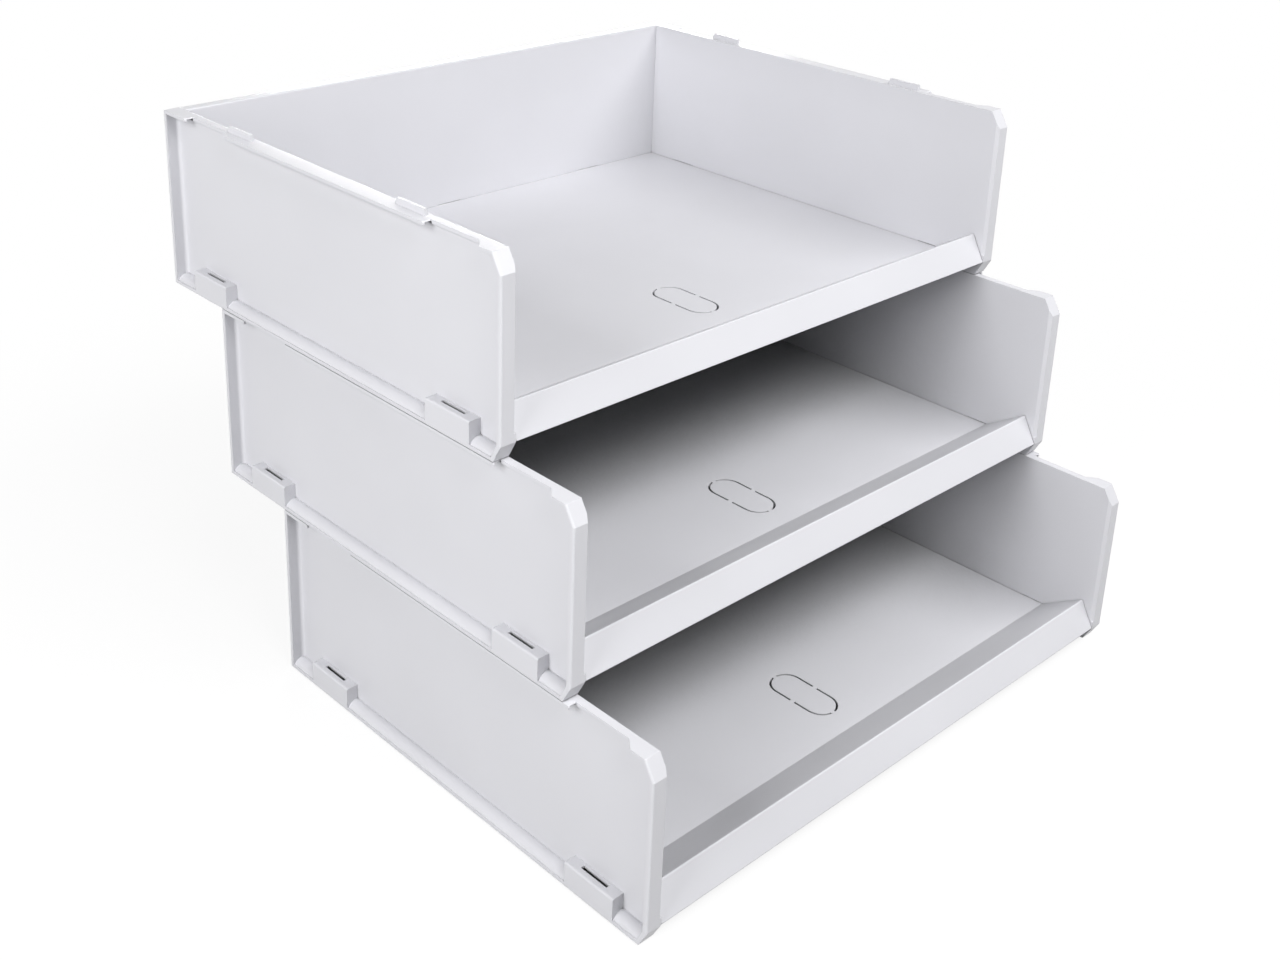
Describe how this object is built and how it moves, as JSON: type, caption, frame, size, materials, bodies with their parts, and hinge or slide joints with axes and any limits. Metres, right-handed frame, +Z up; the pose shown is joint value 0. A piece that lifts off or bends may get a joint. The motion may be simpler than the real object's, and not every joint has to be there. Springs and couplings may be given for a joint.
{
  "type": "stack of letter trays",
  "caption": "Stack of three front-opening plastic letter trays; each slides back and forth on runners on the tray below.",
  "frame": {"origin": "middle of the stack's footprint on the desk (centre of its bounding box, at its base)", "axes": "+Y from the open front towards the back, +X to the right seen from the front, +Z up"},
  "size_m": [0.35, 0.361, 0.2819],
  "materials": {
    "tray_plastic": "satin"
  },
  "bodies": {
    "bottom_tray": {"bottom_base": "tray_plastic", "bottom_back": "tray_plastic", "bottom_left_side": "tray_plastic", "bottom_right_side": "tray_plastic"},
    "middle_tray": {"middle_base": "tray_plastic", "middle_back": "tray_plastic", "middle_left_side": "tray_plastic", "middle_right_side": "tray_plastic"},
    "top_tray": {"top_base": "tray_plastic", "top_back": "tray_plastic", "top_left_side": "tray_plastic", "top_right_side": "tray_plastic"}
  },
  "joints": [
    {"name": "middle_slide", "type": "slide", "parent": "bottom_tray", "child": "middle_tray", "axis": [0, 1, 0], "range_m": [-0.1, 0]},
    {"name": "top_slide", "type": "slide", "parent": "middle_tray", "child": "top_tray", "axis": [0, 1, 0], "range_m": [-0.096, 0.004]}
  ]
}
